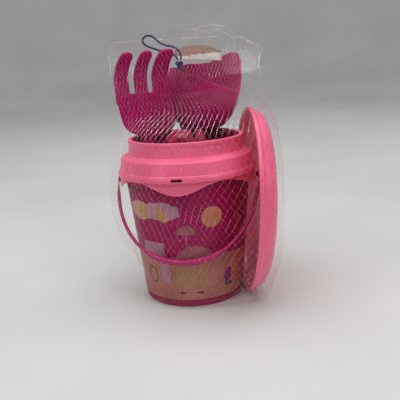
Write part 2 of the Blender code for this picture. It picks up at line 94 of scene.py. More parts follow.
# Sieve, in mm
SIEVE_RIM, SIEVE_DEPTH, SIEVE_WALL = 102.7, 22.0, 2.0
SIEVE_OUT, SIEVE_LIFT = 62.9, 0.6
SIEVE_LEAN, SIEVE_YAW = math.radians(3.7), math.radians(2.6)
HOLE_CIRCLES, HOLE_PITCH, HOLE_RADIUS = 5, 13.0, 1.9

# Rake: where it stands, and each tine's middle and half width, in mm
RAKE_AT = (-43.5, 22.5, 180.0)
RAKE_LEAN, RAKE_YAW = math.radians(-1.5), math.radians(10)
RAKE_TINES = ((-22.4, 8.2), (-1.2, 7.6), (20.6, 9.6))
TINE_BEND, TINE_REACH, TINE_SHIFT = 62.0, 19.5, 10.5
TINE_TURN = math.radians(96)

# Net: strands in each direction, height of a half diamond, radius of a strand
NET_CELLS = 92
NET_ROW = 5.0 * MM
NET_STRAND = 0.07 * MM
LOOP_POINTS = 360
TOP_STRANDS = 46
GATHER_AT = (28.0, 22.0, 289.0)
GATHER_TOP = 296.0

KNOT_AT = (-1.6, 19.2, 254.6)
TAG_AT = (19.5, 31.0, 265.5)
TAG_WIDE, TAG_TALL = 52.0, 22.0
TAG_LEAN, TAG_TILT = math.radians(4), math.radians(45)

CORD_DIAMETER = 2.2 * MM
CORD_ROUTE = (
    (-3.2, 20.0, 259.5), (-6.0, 21.5, 264.0), (-13.0, 24.0, 266.8), (-21.0, 24.5, 269.8),
    (-28.0, 23.5, 272.6), (-35.0, 22.0, 275.4), (-39.4, 20.6, 279.0), (-39.6, 20.0, 283.2),
    (-35.6, 20.0, 286.6), (-30.2, 20.0, 286.0), (-25.6, 19.0, 282.6), (-21.4, 18.0, 278.6),
    (-15.0, 17.2, 275.4), (-7.6, 17.0, 273.6), (-2.0, 17.2, 269.6), (0.6, 17.8, 263.6),
    (0.4, 18.4, 259.6),
)  # fmt: skip

# Floor: radius and height of each ring, in metres
FLOOR_RINGS = ((1.2, 0.0), (2.6, 0.0), (3.2, 0.08), (3.6, 0.35), (3.8, 0.8), (3.85, 2.2))

# Lights: name, place, the point they face, size and power, in metres and watts
LIGHTS = (
    ("ceiling", (0.0, -0.2, 2.4), (0, -0.2, 0), (3.0, 3.0), 66),
    ("window", (-1.1, -1.3, 1.1), (0, 0, 0.15), (0.5, 0.9), 2.5),
    ("lamp", (1.3, -1.0, 1.2), (0, 0, 0.12), (0.2, 0.6), 3.5),
)
WORLD_COLOUR = (0.93, 0.96, 1.0, 1)
WORLD_STRENGTH = 0.25

# Colours, linear
PINK = (0.96, 0.135, 0.28)
MAGENTA = (0.46, 0.001, 0.125)
DEEP_MAGENTA = (0.34, 0.002, 0.07)
# The moulds' dark red is painted shade: it stands for the shadow they lie in, low in the bucket
# under the net
SHADED_MOULD_PINK = (0.34, 0.008, 0.055)
SKY = (0.34, 0.002, 0.08)
SAND = (0.44, 0.155, 0.12)
TOWEL = (0.43, 0.20, 0.10)
CREAM = (0.56, 0.29, 0.20)
LILAC = (0.44, 0.20, 0.27)
OCHRE = (0.52, 0.24, 0.075)
SUN = (0.52, 0.20, 0.11)
ROSE = (0.34, 0.095, 0.12)
PURPLE = (0.20, 0.02, 0.13)
DARK_BLUE = (0.02, 0.02, 0.10)
DARK = (0.035, 0.02, 0.025)
# Near-black stud colour: painted shade of the snap windows' recesses
STUD_RECESS_SHADE = (0.12, 0.01, 0.03)
CORD_BLUE = (0.012, 0.02, 0.13)
CARD_BROWN = (0.25, 0.12, 0.08)
CARD_PALE = (0.50, 0.42, 0.40)

random.seed(7)


def add_object(name, data):
    item = bpy.data.objects.new(name, data)
    bpy.context.scene.collection.objects.link(item)
    return item


# ---------------------------------------------------------------- camera and cord


def make_camera():
    camera = add_object("camera", bpy.data.cameras.new("camera"))
    tip = Matrix.Rotation(math.radians(90) - CAMERA_DOWN, 4, "X")
    roll = Matrix.Rotation(CAMERA_ROLL, 4, "Z")
    camera.matrix_world = Matrix.Translation(CAMERA_AT) @ SET_TURN @ tip @ roll
    camera.data.lens = CAMERA_LENS
    camera.data.sensor_width = 36
    camera.data.clip_start = 0.01
    bpy.context.scene.camera = camera
    bpy.context.scene.view_settings.view_transform = "Standard"


def smooth_route(points, per_span=6):
    """A Catmull-Rom line through points given in mm in the set's own frame."""
    spots = [Vector(p) * MM for p in points]
    spots = [spots[0] * 2 - spots[1]] + spots + [spots[-1] * 2 - spots[-2]]
    line = []
    for i in range(1, len(spots) - 2):
        a, b, c, d = spots[i - 1 : i + 3]
        for step in range(per_span):
            t = step / per_span
            bend = (c - a) * t + (2 * a - 5 * b + 4 * c - d) * t**2
            bend += (3 * b - a - 3 * c + d) * t**3
            line.append(b + bend / 2)
    line.append(spots[-2])
    return [SET_TURN @ p for p in line]


def curve_piece(name, line, radius, material, closed=False, resolution=4):
    curve = bpy.data.curves.new(name, "CURVE")
    curve.dimensions = "3D"
    spline = curve.splines.new("POLY")
    spline.points.add(len(line) - 1)
    for point, at in zip(spline.points, line, strict=True):
        point.co = (*at, 1.0)
    spline.use_cyclic_u = closed
    curve.bevel_depth = radius
    curve.bevel_resolution = resolution
    curve.use_fill_caps = not closed
    curve.materials.append(material)
    return add_object(name, curve)


def line_length(line):
    return sum((b - a).length for a, b in zip(line, line[1:], strict=False))


# ---------------------------------------------------------------- materials


def new_material(name):
    material = bpy.data.materials.new(name)
    material.use_nodes = True
    tree = material.node_tree
    return material, tree.nodes, tree.links, tree.nodes["Principled BSDF"]


def add_noise(kinds, links, scale, detail=3.0, stretch=(1, 1, 1)):
    """A noise texture in object space, stretched along an axis if asked."""
    place = kinds.new("ShaderNodeTexCoord")
    mapping = kinds.new("ShaderNodeMapping")
    mapping.inputs["Scale"].default_value = stretch
    texture = kinds.new("ShaderNodeTexNoise")
    texture.inputs["Scale"].default_value = scale
    texture.inputs["Detail"].default_value = detail
    links.new(place.outputs["Object"], mapping.inputs["Vector"])
    links.new(mapping.outputs["Vector"], texture.inputs["Vector"])
    return texture.outputs["Fac"]


def tones(kinds, links, factor, dark, light, low=0.35, high=0.65):
    ramp = kinds.new("ShaderNodeValToRGB")
    ramp.color_ramp.elements[0].position = low
    ramp.color_ramp.elements[0].color = (*dark, 1)
    ramp.color_ramp.elements[1].position = high
    ramp.color_ramp.elements[1].color = (*light, 1)
    links.new(factor, ramp.inputs["Fac"])
    return ramp.outputs["Color"]


def spread(kinds, links, factor, low, high):
    span = kinds.new("ShaderNodeMapRange")
    span.inputs["From Min"].default_value = 0.3
    span.inputs["From Max"].default_value = 0.7
    span.inputs["To Min"].default_value = low
    span.inputs["To Max"].default_value = high
    links.new(factor, span.inputs["Value"])
    return span.outputs["Result"]


def add_bump(kinds, links, shader, factor, distance, strength=0.5):
    bump = kinds.new("ShaderNodeBump")
    bump.inputs["Strength"].default_value = strength
    bump.inputs["Distance"].default_value = distance
    links.new(factor, bump.inputs["Height"])
    links.new(bump.outputs["Normal"], shader.inputs["Normal"])


def moulded_plastic(name, colour, rough, glow=0.0, gloss=0.5):
    """Semi-gloss moulded plastic: cloudy colour, patchy sheen and a faint flow texture."""
    material, kinds, links, shader = new_material(name)
    patches = add_noise(kinds, links, 22, 4)
    dark = tuple(c * 0.86 for c in colour)
    light = tuple(min(1.0, c * 1.06) for c in colour)
    links.new(tones(kinds, links, patches, dark, light), shader.inputs["Base Color"])
    scuff = add_noise(kinds, links, 160, 6, (1, 1, 0.35))
    links.new(spread(kinds, links, scuff, rough - 0.07, rough + 0.13), shader.inputs["Roughness"])
    add_bump(kinds, links, shader, add_noise(kinds, links, 420, 4), 0.12 * MM, 0.35)
    shader.inputs["Specular IOR Level"].default_value = gloss
    if glow:
        shader.inputs["Subsurface Weight"].default_value = glow
        shader.inputs["Subsurface Radius"].default_value = (4 * MM, 1.4 * MM, 1.8 * MM)
        shader.inputs["Subsurface Scale"].default_value = 1.0
    return material


def printed_film(name, colour):
    """Ink on satin film, a little mottled."""
    material, kinds, links, shader = new_material(name)
    mottle = add_noise(kinds, links, 65, 5)
    dark = tuple(c * 0.84 for c in colour)
    light = tuple(min(1.0, c * 1.08) for c in colour)
    links.new(tones(kinds, links, mottle, dark, light), shader.inputs["Base Color"])
    rub = add_noise(kinds, links, 240, 3)
    links.new(spread(kinds, links, rub, 0.30, 0.46), shader.inputs["Roughness"])
    add_bump(kinds, links, shader, add_noise(kinds, links, 90, 2), 0.15 * MM, 0.25)
    shader.inputs["Specular IOR Level"].default_value = 0.16
    shader.inputs["Coat Weight"].default_value = 0.05
    shader.inputs["Coat Roughness"].default_value = 0.25
    return material


def filament(name):
    """Clear net filament: glossy, whitish with faint pink patches at random."""
    material, kinds, links, shader = new_material(name)
    tint = add_noise(kinds, links, 60, 2)
    pale = tones(kinds, links, tint, (0.90, 0.72, 0.78), (0.99, 0.96, 0.97))
    links.new(pale, shader.inputs["Base Color"])
    rub = add_noise(kinds, links, 300, 2)
    links.new(spread(kinds, links, rub, 0.12, 0.34), shader.inputs["Roughness"])
    add_bump(kinds, links, shader, add_noise(kinds, links, 900, 2), 0.05 * MM, 0.3)
    shader.inputs["Transmission Weight"].default_value = 0.86
    shader.inputs["IOR"].default_value = 1.5
    return material


def braided_fibre(name, colour):
    """Twisted fibre: fine slanting ridges, matt, with painted shade in the grooves and painted
    light on the ridge tops.
    """
    material, kinds, links, shader = new_material(name)
    place = kinds.new("ShaderNodeTexCoord")
    ridges = kinds.new("ShaderNodeTexWave")
    ridges.wave_type = "BANDS"
    ridges.bands_direction = "DIAGONAL"
    ridges.inputs["Scale"].default_value = 260
    ridges.inputs["Distortion"].default_value = 1.5
    links.new(place.outputs["Object"], ridges.inputs["Vector"])
    # The colour follows the ridges' bump: darker in the grooves is painted shade, lighter on the
    # ridge tops is painted light
    dark = tuple(c * 0.55 for c in colour)
    light = tuple(min(1.0, c * 1.5) for c in colour)
    twist = ridges.outputs["Fac"]
    links.new(tones(kinds, links, twist, dark, light, 0.2, 0.8), shader.inputs["Base Color"])
    fuzz = add_noise(kinds, links, 400, 3)
    links.new(spread(kinds, links, fuzz, 0.6, 0.85), shader.inputs["Roughness"])
    add_bump(kinds, links, shader, twist, 0.3 * MM, 0.7)
    shader.inputs["Sheen Weight"].default_value = 0.3
    return material


def card(name, colour):
    """Thin printed card with paper fibre."""
    material, kinds, links, shader = new_material(name)
    fibre = add_noise(kinds, links, 240, 6, (1, 0.3, 1))
    dark = tuple(c * 0.75 for c in colour)
    light = tuple(min(1.0, c * 1.15) for c in colour)
    links.new(tones(kinds, links, fibre, dark, light), shader.inputs["Base Color"])
    links.new(spread(kinds, links, fibre, 0.5, 0.75), shader.inputs["Roughness"])
    add_bump(kinds, links, shader, fibre, 0.1 * MM, 0.3)
    return material


# ---------------------------------------------------------------- mesh helpers


def mesh_piece(name, points, faces, material, body):
    mesh = bpy.data.meshes.new(name)
    mesh.from_pydata([tuple(p) for p in points], [], faces)
    mesh.update()
    item = add_object(name, mesh)
    mesh.materials.append(material)
    mesh.shade_smooth()
    mesh.set_sharp_from_angle(angle=SHARP_ANGLE)
    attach(item, body)
    return item


def mesh_object(name, grown):
    """An object from a bmesh, which is freed."""
    mesh = bpy.data.meshes.new(name)
    grown.to_mesh(mesh)
    grown.free()
    return add_object(name, mesh)


def rounded(profile, radius, arc=3):
    """Rounds the corners of a closed profile of (radius, height) points in mm."""
    spots = [Vector(p) for p in profile]
    out = []
    befores = spots[-1:] + spots[:-1]
    afters = spots[1:] + spots[:1]
    for before, at, after in zip(befores, spots, afters, strict=True):
        one = before - at
        two = after - at
        if at.x < 1e-6 or one.length < 1e-6 or two.length < 1e-6:
            out.append(at)
            continue
        reach = min(radius, one.length * 0.45, two.length * 0.45)
        start = at + one.normalized() * reach
        end = at + two.normalized() * reach
        for step in range(arc + 1):
            t = step / arc
            out.append(start * (1 - t) ** 2 + at * 2 * t * (1 - t) + end * t**2)
    return out


def turned_mesh(profile, sides, edge_height=None):
    """Points and faces of a closed profile in mm turned about Z.

    edge_height gives the height of the points marked EDGE from the angle.
    """
    points = []
    for k in range(sides):
        angle = math.tau * k / sides
        for spot in profile:
            z = spot[1]
            if edge_height and z == EDGE:
                z = edge_height(angle)
            points.append(Vector((spot[0] * math.sin(angle), -spot[0] * math.cos(angle), z)) * MM)
    count = len(profile)
    faces = []
    for k in range(sides):
        a = k * count
        b = ((k + 1) % sides) * count
        for i in range(count):
            n = (i + 1) % count
            if profile[i][0] > 1e-6 or profile[n][0] > 1e-6:
                faces.append((a + i, b + i, b + n, a + n))
    return points, faces


def tidy_skin(item):
    """Welds double points and turns the skin outward."""
    skin = bmesh.new()
    skin.from_mesh(item.data)
    bmesh.ops.remove_doubles(skin, verts=skin.verts, dist=0.01 * MM)
    bmesh.ops.recalc_face_normals(skin, faces=skin.faces)
    skin.to_mesh(item.data)
    skin.free()
    item.data.update()


def apply_modifiers(item):
    depsgraph = bpy.context.evaluated_depsgraph_get()
    mesh = bpy.data.meshes.new_from_object(item.evaluated_get(depsgraph))
    item.modifiers.clear()
    item.data = mesh


def cut(item, cutter):
    step = item.modifiers.new("cut", "BOOLEAN")
    step.operation = "DIFFERENCE"
    step.solver = "EXACT"
    step.object = cutter
    bpy.context.view_layer.update()
    apply_modifiers(item)
    bpy.data.objects.remove(cutter, do_unlink=True)


def soften(node, voxel, passes, material):
    """A moulded piece with rounded edges: a fine skin over the CAD node's shape, smoothed."""
    source = nodes[node]
    item = add_object(f"{node}_moulding", source.data.copy())
    item.data.materials.clear()
    skin = item.modifiers.new("skin", "REMESH")
    skin.mode = "VOXEL"
    skin.voxel_size = voxel
    ease = item.modifiers.new("ease", "SMOOTH")
    ease.iterations = passes
    ease.factor = 0.5
    bpy.context.view_layer.update()
    apply_modifiers(item)
    item.data.materials.clear()
    item.data.materials.append(material)
    item.data.shade_smooth()
    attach(item, source["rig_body"])
    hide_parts(node)
    return item


def round_tines(rake):
    """Rounds the tips of the rake's tines over from side to side."""
    stand = SET_TURN @ Matrix.Translation(Vector(RAKE_AT) * MM)
    stand = stand @ Matrix.Rotation(RAKE_LEAN, 4, "Y") @ Matrix.Rotation(RAKE_YAW, 4, "Z")
    back = stand.inverted()
    for spot in rake.data.vertices:
        at = (back @ spot.co) / MM
        if at.z < TINE_BEND:
            continue
        bend = math.acos(max(-1.0, min(1.0, 1 + at.y / TINE_REACH))) / TINE_TURN
        shift = TINE_SHIFT * min(1.0, bend) ** 1.3
        middle, half = min(RAKE_TINES, key=lambda t: abs(at.x - t[0] - shift))
        across = max(-1.1, min(1.1, (at.x - middle - shift) / half))
        ramp = min(1.0, (at.z - TINE_BEND) / 22)
        at.z -= 5.0 * abs(across) ** 2.4 * ramp
        spot.co = stand @ (at * MM)
    rake.data.update()


# ---------------------------------------------------------------- bucket


def body_radius(z):
    """Outer radius of the tub at a height, both in mm."""
    return TUB_BASE + (TUB_TOP - TUB_BASE) * z / TUB_RISE


def make_bucket(material):
    base, band, wall, neck = TUB_BASE, TUB_BAND, TUB_WALL, 60.7
    profile = [
        (0, 2.4), (base - wall - 3, 2.4), (base - wall, 5.4), (TUB_TOP - wall, 138.4),
        (neck - wall, 143.2), (neck - wall, 176.2), (neck, 176.2), (neck, 144), (TUB_TOP, TUB_RISE),
        (body_radius(band), band), (base + 1, band - 0.6), (base + 0.5, 0.9), (base - 0.6, 0),
        (46, 0), (45, 0.8), (0, 0.8),
    ]  # fmt: skip
    points, faces = turned_mesh(rounded(profile, 0.5), 144)
    tub = mesh_piece("bucket_tub", points, faces, material, "bucket")
    tidy_skin(tub)
    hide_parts("bucket_body")


def skirt_edge(angle):
    """Height in mm of the collar's wavy edge: narrow lobes front and back, wide at the sides."""
    quarter = math.pi / 2
    lobe = round(angle / quarter)
    half = math.radians(52 if lobe % 2 else 34)
    away = abs(angle - lobe * quarter) / half
    depth = 0.5 + 0.5 * math.cos(math.pi * min(1.0, away))
    if lobe % 2:
        depth = min(1.0, 1.25 * depth)
    return SKIRT_VALLEY - SKIRT_DEPTH * depth


def make_collar(material, dark):
    outer = [
        (58.9, 176.9), (58.7, 178.4), (59.4, 179), (62.7, 179), (63.3, 178.3), (63.3, 175.4),
        (62.6, 174.9), (63.4, 163.7), (70.8, 160.2), (71.6, 159.0), (74.2, 147.4), (75.1, 146.6),
        (76.2, 144.2), (76.6, 141.4), (76.2, 140.6), (75, 140.3),
    ]  # fmt: skip
    inner = [
        (73.2, 141.4), (73.4, 144.6), (72.3, 146.6), (69.6, 157.7), (61.6, 161.7),
        (61.1, 174.9), (61.1, 176.9),
    ]  # fmt: skip
    soft = [tuple(p) for p in rounded(outer + inner, 0.45)]
    # The wavy edge goes in where the outer face ends and the inner one starts
    inner_start = next(
        i for i, p in enumerate(soft) if p[0] < 73.4 and p[1] < 143 and i > len(outer) * 3
    )
    skirt = [(SKIRT_RADIUS, EDGE), (74.1, EDGE), (73.2, EDGE)]
    profile = soft[:inner_start] + skirt + soft[inner_start:]
    points, faces = turned_mesh(profile, 192, skirt_edge)
    collar = mesh_piece("collar_moulding", points, faces, material, "bucket")
    tidy_skin(collar)

    grown = bmesh.new()
    for side in (-1, 1):
        size = Matrix.Diagonal((11 * MM, 12 * MM, 3.2 * MM, 1))
        at = Matrix.Translation(Vector((0, side * SKIRT_RADIUS, WINDOW_HEIGHT)) * MM)
        bmesh.ops.create_cube(grown, size=1, matrix=at @ size)
        across = Matrix.Rotation(math.pi / 2, 4, "Y")
        hole = Matrix.Translation(Vector((side * SKIRT_RADIUS, 0, PIVOT_HEIGHT)) * MM) @ across
        bmesh.ops.create_cone(
            grown, cap_ends=True, segments=32, radius1=PIVOT_HOLE * MM, radius2=PIVOT_HOLE * MM,
            depth=14 * MM, matrix=hole,
        )  # fmt: skip
    cut(collar, mesh_object("collar_cutter", grown))
    collar.data.shade_smooth()
    collar.data.set_sharp_from_angle(angle=SHARP_ANGLE)
    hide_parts("collar_ring")

    for side, name in ((-1, "snap_front"), (1, "snap_back")):
        stud_row(name, side, dark)


def stud_row(name, side, material):
    """Three latch studs on a bar, seen through the snap window; their near-black colour is painted
    shade of the recesses.
    """
    grown = bmesh.new()
    stud = Matrix.Diagonal((1.35 * MM, 1.5 * MM, 1.3 * MM, 1))
    for step in (-1, 0, 1):
        at = Matrix.Translation(Vector((step * STUD_PITCH, side * 72.6, 143.7)) * MM)
        bmesh.ops.create_uvsphere(grown, u_segments=16, v_segments=10, radius=1, matrix=at @ stud)
    bar = Matrix.Diagonal((9.6 * MM, 1.2 * MM, 2.6 * MM, 1))
    back = Matrix.Translation(Vector((0, side * 71.7, 143.7)) * MM)
    bmesh.ops.create_cube(grown, size=1, matrix=back @ bar)
    item = mesh_object(name, grown)
    item.data.materials.append(material)
    item.data.shade_smooth()
    item.data.set_sharp_from_angle(angle=SHARP_ANGLE)
    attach(item, "bucket")


# ---------------------------------------------------------------- label


def on_label(s, z, lift):
    """A point of the label, from degrees round from the front, and height and lift in mm."""
    angle = math.radians(s)
    r = body_radius(z) + FILM_TOP + lift
    return Vector((r * math.sin(angle), -r * math.cos(angle), z)) * MM


def make_label(material):
    corners = ((LABEL_LOW, 0.3), (LABEL_HIGH, 0.3), (LABEL_HIGH, 0.7), (LABEL_LOW, 0.7))
    profile = [(body_radius(z) + off, z) for z, off in corners]
    points, faces = turned_mesh(rounded(profile, 0.1, 2), 144)
    film = mesh_piece("label_film", points, faces, material, "bucket")
    tidy_skin(film)
    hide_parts("printed_label")


def decal(name, outline, material, layer):
    """A flat printed shape wrapped on the label. The outline is (degrees round, mm up)."""
    shape = bmesh.new()
    corners = [shape.verts.new((s, z, 0)) for s, z in outline]
    shape.faces.new(corners)
    low = min(s for s, _ in outline)
    high = max(s for s, _ in outline)
    steps = max(1, int((high - low) / 2.5))
    for i in range(1, steps):
        at = (low + (high - low) * i / steps, 0, 0)
        everything = shape.verts[:] + shape.edges[:] + shape.faces[:]
        bmesh.ops.bisect_plane(shape, geom=everything, plane_co=at, plane_no=(1, 0, 0))
    for spot in shape.verts:
        spot.co = on_label(spot.co.x, spot.co.y, INK * layer)
    bmesh.ops.recalc_face_normals(shape, faces=shape.faces)
    item = mesh_object(name, shape)
    item.data.materials.append(material)
    thick = item.modifiers.new("ink", "SOLIDIFY")
    thick.thickness = 0.05 * MM
    thick.offset = 1
    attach(item, "bucket")


def oval(s, z, wide, tall, count=28, power=1.0, turn=0.0):
    """An ellipse, or a squarer one when power is below 1."""
    out = []
    for k in range(count):
        a = math.tau * k / count
        x = wide * math.copysign(abs(math.cos(a)) ** power, math.cos(a))
        y = tall * math.copysign(abs(math.sin(a)) ** power, math.sin(a))
        right = x * math.cos(turn) - y * math.sin(turn)
        up = x * math.sin(turn) + y * math.cos(turn)
        out.append((s + right, z + up))
    return out


def cloud(s, z, wide, tall, puffs, count=60):
    out = []
    for k in range(count):
        a = math.tau * k / count
        bulge = 1 + 0.11 * abs(math.sin(puffs * a / 2))
        out.append((s + wide * bulge * math.cos(a), z + tall * bulge * math.sin(a)))
    return out


def dome(s, z, wide, tall, count=24):
    out = []
    for k in range(count + 1):
        a = math.pi * k / count
        out.append((s + wide * math.cos(a), z + tall * math.sin(a)))
    return out


def block(s, z, wide, tall):
    return [(s - wide, z), (s + wide, z), (s + wide, z + tall), (s - wide, z + tall)]


def make_label_art():
    """A made-up beach scene of plain shapes, printed on the front and again on the back."""
    sand = printed_film("ink_sand", SAND)
    cream = printed_film("ink_cream", CREAM)
    lilac = printed_film("ink_lilac", LILAC)
    ochre = printed_film("ink_ochre", OCHRE)
    sun = printed_film("ink_sun", SUN)
    towel = printed_film("ink_towel", TOWEL)
    purple = printed_film("ink_purple", PURPLE)
    blue = printed_film("ink_blue", DARK_BLUE)
    dark = printed_film("ink_dark", DARK)
    rose = printed_film("ink_rose", ROSE)

    sides = 120
    points = []
    faces = []
    for k in range(sides + 1):
        s = 360 * k / sides
        z = SAND_LINE + 2.2 * math.sin(math.radians(3 * s + 40))
        points += [on_label(s, height, INK) for height in (LABEL_LOW + 0.6, z * 0.5 + 4, z)]
    for k in range(sides):
        a = k * 3
        faces += [(a, a + 3, a + 4, a + 1), (a + 1, a + 4, a + 5, a + 2)]
    strip = mesh_piece("label_sand", points, faces, sand, "bucket")
    tidy_skin(strip)

    for half, turn in (("front", 0), ("back", 180)):
        decal(f"cloud_far_{half}", cloud(turn - 44, 108, 17, 9.5, 6), cream, 2)
        decal(f"cloud_near_{half}", cloud(turn - 19, 109, 17, 9.5, 7), lilac, 3)
        decal(f"streak_one_{half}", oval(turn - 39, 108, 5.5, 7, turn=0.35), ochre, 4)
        decal(f"streak_two_{half}", oval(turn - 19, 105, 4.6, 8.5, turn=0.5), ochre, 4)
        decal(f"sun_{half}", oval(turn + 28.6, 101.3, 10.2, 11.4), sun, 2)
        decal(f"parasol_pole_{half}", block(turn + 3.6, 66, 0.8, 20), rose, 2)
        decal(f"parasol_top_{half}", dome(turn + 3.6, 84, 9.5, 10), rose, 3)
        decal(f"hill_{half}", dome(turn + 11, 57, 17.5, 14), rose, 3)
        decal(f"tower_{half}", block(turn - 33.5, 56, 13.5, 18), lilac, 3)
        decal(f"pillar_{half}", block(turn - 22, 28, 5, 24), lilac, 3)
        decal(f"towel_{half}", block(turn + 6, 22.5, 17, 22.5), towel, 2)
        for step, side in ((-1, "left"), (1, "right")):
            decal(f"stroke_{side}_{half}", oval(turn + 5 + step * 9.5, 17, 4.2, 1.0), dark, 2)
        decal(f"float_{half}", oval(turn + 47, 32, 4.6, 8.5, power=0.8, turn=-0.15), purple, 2)
        decal(f"float_foot_{half}", oval(turn + 48, 22, 5, 2.2), blue, 3)
        hoop(f"hoop_{half}", turn - 39, 35.5, 6.2, 9.8, dark)


def hoop(name, s, z, wide, tall, material):
    """A printed ring, slightly tipped."""
    count = 48
    points = []
    faces = []
    for k in range(count):
        a = math.tau * k / count
        for share in (0.86, 1.0):
            x = wide * share * math.cos(a)
            y = tall * share * math.sin(a)
            points.append(on_label(s + x - 0.08 * y, z + y, 0.26))
    for k in range(count):
        a = 2 * k
        b = 2 * ((k + 1) % count)
        faces.append((a, a + 1, b + 1, b))
    ring = mesh_piece(name, points, faces, material, "bucket")
    tidy_skin(ring)


# ---------------------------------------------------------------- sieve


def make_sieve(material):
    deep, rim = SIEVE_DEPTH, SIEVE_RIM
    profile = [
        (0, deep), (66, deep), (78, 21.6), (88.5, 19.4), (95.5, 15.4), (98.9, 10.6), (100.4, 5.4),
        (rim, 4.4), (rim, 0), (98.8, 0), (96.9, 10), (94, 14), (87.6, 17.2),
        (77.6, 19.4), (66, deep - SIEVE_WALL), (0, deep - SIEVE_WALL),
    ]  # fmt: skip
    points, faces = turned_mesh(rounded(profile, 1.6, 4), 180)
    dish = mesh_piece("sieve_moulding", points, faces, material, "sieve_dish")
    tidy_skin(dish)
    grown = bmesh.new()
    for circle in range(HOLE_CIRCLES):
        count = max(1, 6 * circle)
        out = HOLE_PITCH * circle
        for k in range(count):
            a = math.tau * k / count
            at = Vector((out * math.cos(a), out * math.sin(a), deep - SIEVE_WALL / 2)) * MM
            bmesh.ops.create_cone(
                grown, cap_ends=True, segments=12, radius1=HOLE_RADIUS * MM,
                radius2=HOLE_RADIUS * MM, depth=8 * MM, matrix=Matrix.Translation(at),
            )  # fmt: skip
    cut(dish, mesh_object("sieve_cutter", grown))
    centre = Vector((SIEVE_OUT, 0, rim * math.cos(SIEVE_LEAN) + SIEVE_LIFT)) * MM
    stand = SET_TURN @ Matrix.Translation(centre) @ Matrix.Rotation(SIEVE_YAW, 4, "Z")
    stand = stand @ Matrix.Rotation(SIEVE_LEAN, 4, "Y") @ Matrix.Rotation(math.pi / 2, 4, "Y")
    dish.data.transform(stand)
    dish.data.shade_smooth()
    dish.data.set_sharp_from_angle(angle=SHARP_ANGLE)
    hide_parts("sieve")


# ---------------------------------------------------------------- net


def net_levels():
    """The net's outline at each CAD level: {height: loop of points, evenly spaced round}."""
    levels = {}
    for spot in nodes["net_bag"].data.vertices:
        levels.setdefault(round(spot.co.z, 4), []).append(Vector(spot.co))
    out = {}
    for z, spots in sorted(levels.items()):
        loop = even_loop(outer_loop(spots), LOOP_POINTS)
        if out:
            loop = least_shifted(loop, out[max(out)])
        out[z] = loop
    return out


def least_shifted(loop, other):
    """The loop with its start moved so that its points lie nearest to the other loop's."""

    def apart(shift):
        gaps = (loop[(k + shift) % LOOP_POINTS] - other[k] for k in range(0, LOOP_POINTS, 6))
        return sum(gap.xy.length_squared for gap in gaps)

    best = min(range(LOOP_POINTS), key=apart)
    return loop[best:] + loop[:best]


def outer_loop(spots):
    """The convex outline of the points."""
    order = sorted(spots, key=lambda p: (p.x, p.y))
    hull = []
    for half in (order, order[::-1]):
        part = []
        for p in half:
            while len(part) > 1 and turn_of(part[-2], part[-1], p) <= 1e-10:
                part.pop()
            part.append(p)
        hull += part[:-1]
    return hull


def turn_of(a, b, c):
    return (b.x - a.x) * (c.y - a.y) - (b.y - a.y) * (c.x - a.x)


def even_loop(loop, count):
    """Evenly spaced points round a closed line, from its leftmost point."""
    start = min(range(len(loop)), key=lambda i: loop[i].x)
    loop = loop[start:] + loop[:start]
    loop.append(loop[0])
    total = line_length(loop)
    out = []
    walked = 0.0
    i = 0
    for k in range(count):
        goal = total * k / count
        while walked + (loop[i + 1] - loop[i]).length < goal:
            walked += (loop[i + 1] - loop[i]).length
            i += 1
        span = (loop[i + 1] - loop[i]).length
        out.append(loop[i].lerp(loop[i + 1], (goal - walked) / max(span, 1e-9)))
    return out


class NetSurface:
    """The net's sleeve as a function of the share of the way round and the height."""

    def __init__(self):
        self.levels = net_levels()
        self.heights = sorted(self.levels)

    def at(self, share, z):
        z = min(max(z, self.heights[0]), self.heights[-1])
        low = max(h for h in self.heights[:-1] if h <= z + 1e-9)
        high = self.heights[self.heights.index(low) + 1]
        t = (z - low) / (high - low)
        return self.on_loop(low, share).lerp(self.on_loop(high, share), t)

    def on_loop(self, level, share):
        loop = self.levels[level]
        place = (share % 1.0) * len(loop)
        i = int(place)
        return loop[i % len(loop)].lerp(loop[(i + 1) % len(loop)], place - i)


def is_front(point):
    """Whether a point of the net is in front of the bucket and short of the sieve."""
    spot = SET_TURN.inverted() @ point
    return spot.x < 64 * MM and point.y < 8 * MM


def tube(points, faces, line, radius, sides=3):
    """Adds a thin tube along a line to a point and face list."""
    start = len(points)
    for i, at in enumerate(line):
        along = line[min(i + 1, len(line) - 1)] - line[max(i - 1, 0)]
        along.normalize()
        side = along.cross(Vector((0, 0, 1)))
        if side.length < 1e-3:
            side = along.cross(Vector((0, 1, 0)))
        side.normalize()
        up = side.cross(along)
        for k in range(sides):
            a = math.tau * k / sides
            points.append(at + side * radius * math.cos(a) + up * radius * math.sin(a))
    for i in range(len(line) - 1):
        a = start + i * sides
        for k in range(sides):
            n = (k + 1) % sides
            faces.append((a + k, a + n, a + sides + n, a + sides + k))
    last = start + (len(line) - 1) * sides
    faces.append(tuple(reversed(range(start, start + sides))))
    faces.append(tuple(last + k for k in range(sides)))


def make_net(material):
    """Two families of slanting strands that cross in diamonds, in a front and a back part."""
    surface = NetSurface()
    low, high = surface.heights[0], surface.heights[-1]
    rows = int((high - low) / NET_ROW)
    parts = {"front": ([], []), "back": ([], [])}
    for family in (-1, 1):
        for strand in range(NET_CELLS):
            line = []
            for row in range(rows + 1):
                z = low + (high - low) * row / rows
                share = (strand + family * row / 2) / NET_CELLS
                spot = surface.at(share, z)
                drift = noise.noise(spot * 28) * 0.30 / NET_CELLS
                sag = noise.noise(spot * 45 + Vector((3, 1, 7))) * 2.4 * MM
                spot = surface.at(share + drift, min(high, max(low, z + sag)))
                line.append(spot)
            add_runs(parts, line)
    for z in (low + 0.3 * MM, low + 1.1 * MM, high - 0.3 * MM):
        hem = [surface.at(k / 180, z) for k in range(181)]
        add_runs(parts, hem, 1.3)
    made = {}
    for part, (points, faces) in parts.items():
        made[part] = mesh_piece(f"net_{part}", points, faces, material, "net")
    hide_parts("net_bag")
    return surface, made


